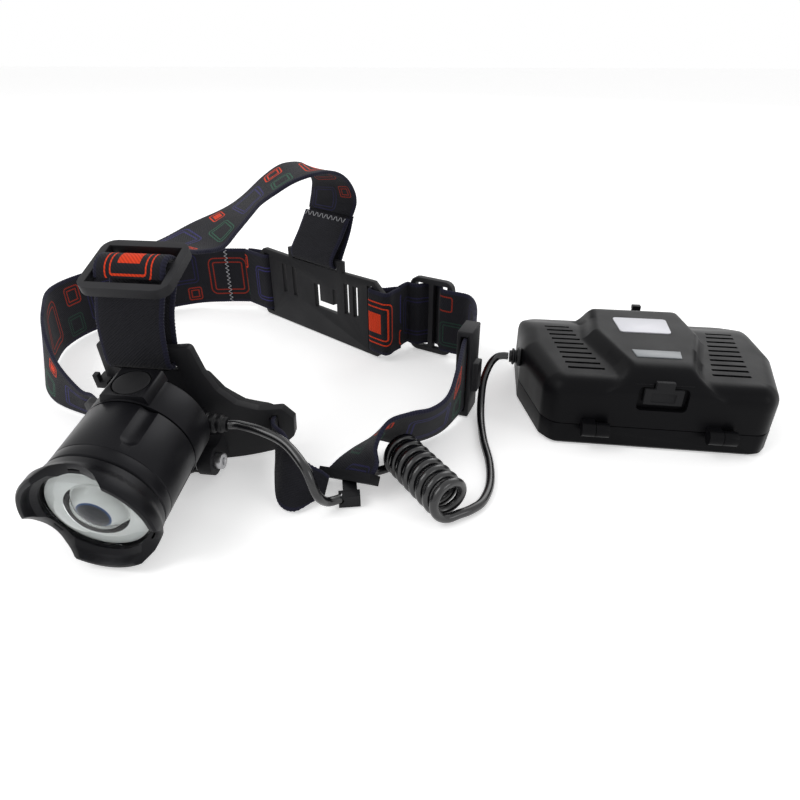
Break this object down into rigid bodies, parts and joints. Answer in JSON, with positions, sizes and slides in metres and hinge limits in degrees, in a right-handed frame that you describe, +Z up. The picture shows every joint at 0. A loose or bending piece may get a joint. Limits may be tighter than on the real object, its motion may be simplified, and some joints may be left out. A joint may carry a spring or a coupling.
{
  "type": "cap lamp",
  "caption": "Focusing cap lamp on an elastic head harness, with a hinged battery box on a coiled lead.",
  "frame": {"origin": "centre of the battery box's base, on the surface the object lies on", "axes": "+X along the box's width, +Y away from the box's hinges, +Z up"},
  "size_m": [0.3088, 0.2062, 0.0853],
  "materials": {
    "black_anodised": "satin black anodising",
    "clear_lens": "clear polished",
    "black_rubber": "matt moulded rubber",
    "flex_black": "glossy flexible sheath",
    "brass": "turned brass",
    "led_ceramic": "white board",
    "led_phosphor": "yellow phosphor under a clear dome",
    "green_board": "green circuit board",
    "dark_component": "moulded component",
    "stainless": "stainless steel",
    "nickel": "nickel plated strip",
    "black_nylon": "satin moulded nylon",
    "buckle_plastic": "satin moulded acetal",
    "pad_leatherette": "stitched leatherette over foam",
    "printed_webbing": "ribbed elastic webbing with a printed pattern",
    "plain_webbing": "plain ribbed elastic webbing",
    "box_abs": "satin black ABS",
    "cell_sleeve": "shrink sleeve over a metal can",
    "red_indicator": "coloured clear indicator",
    "smoke_window": "grey translucent",
    "label_silver": "bare pale label"
  },
  "bodies": {
    "harness": {"hinge_screw": "stainless", "hinge_nut": "stainless", "tilt_washers": "stainless", "front_plate": "black_nylon", "forehead_pad": "pad_leatherette", "head_strap_left": "printed_webbing", "head_strap_right": "printed_webbing", "front_right_strap": "plain_webbing", "top_strap": "printed_webbing", "top_front_loop": "plain_webbing", "top_rear_loop": "plain_webbing", "rear_loop_left": "printed_webbing", "rear_loop_right": "printed_webbing", "rear_plate": "black_nylon", "top_buckle": "buckle_plastic", "rear_buckle": "buckle_plastic", "strap_keeper": "black_nylon", "lead_clip": "black_nylon", "box_tray": "box_abs", "hinge_pins": "stainless", "battery_cells": "cell_sleeve", "contact_springs": "stainless", "contact_plates": "nickel", "latch_pin": "stainless", "lead_front": "flex_black", "lead_middle": "flex_black", "coil_lead": "flex_black", "lead_rear": "flex_black"},
    "lamp": {"lamp_housing": "black_anodised", "focus_o_ring": "black_rubber", "led_carrier": "brass", "led_board": "led_ceramic", "led_emitter": "led_phosphor", "driver_board": "green_board", "switch_module": "dark_component", "lamp_strain_relief": "flex_black"},
    "focus_barrel": {"bezel": "black_anodised", "lens": "clear_lens", "lens_seal": "black_rubber", "focus_sleeve": "black_anodised"},
    "push_button": {"switch_button": "black_rubber"},
    "lid": {"box_cover": "box_abs", "circuit_board": "green_board", "charging_socket": "stainless", "indicator_lamps": "red_indicator", "indicator_window": "smoke_window", "label_plate": "label_silver", "box_strain_relief": "flex_black", "board_screws": "stainless"},
    "port_flap": {"port_cover": "black_rubber"},
    "latch": {"latch_lever": "box_abs"}
  },
  "joints": [
    {"name": "lamp_tilt", "type": "hinge", "parent": "harness", "child": "lamp", "pos_m": [-0.1615, -0.07135, 0.00655], "axis": [1, 0, 0], "range_deg": [0, 60], "deforming": ["lead_front"]},
    {"name": "focus_slide", "type": "slide", "parent": "lamp", "child": "focus_barrel", "axis": [0, -0.9848, -0.1736], "range_m": [0, 0.006]},
    {"name": "switch_press", "type": "slide", "parent": "lamp", "child": "push_button", "axis": [0, 0.1736, -0.9848], "range_m": [0, 0.001], "stiffness_N_per_m": 300, "springref_m": -0.001},
    {"name": "lid_hinge", "type": "hinge", "parent": "harness", "child": "lid", "pos_m": [0, -0.0387, 0.0085], "axis": [1, 0, 0], "range_deg": [0, 100], "deforming": ["lead_rear"]},
    {"name": "port_flap_bend", "type": "hinge", "parent": "lid", "child": "port_flap", "pos_m": [0, -0.036, 0.0272], "axis": [-1, 0, 0], "range_deg": [0, 100], "stiffness_Nm_per_rad": 0.0005},
    {"name": "latch_swing", "type": "hinge", "parent": "harness", "child": "latch", "pos_m": [0, 0.0386, 0.004], "axis": [-1, 0, 0], "range_deg": [0, 30]}
  ]
}
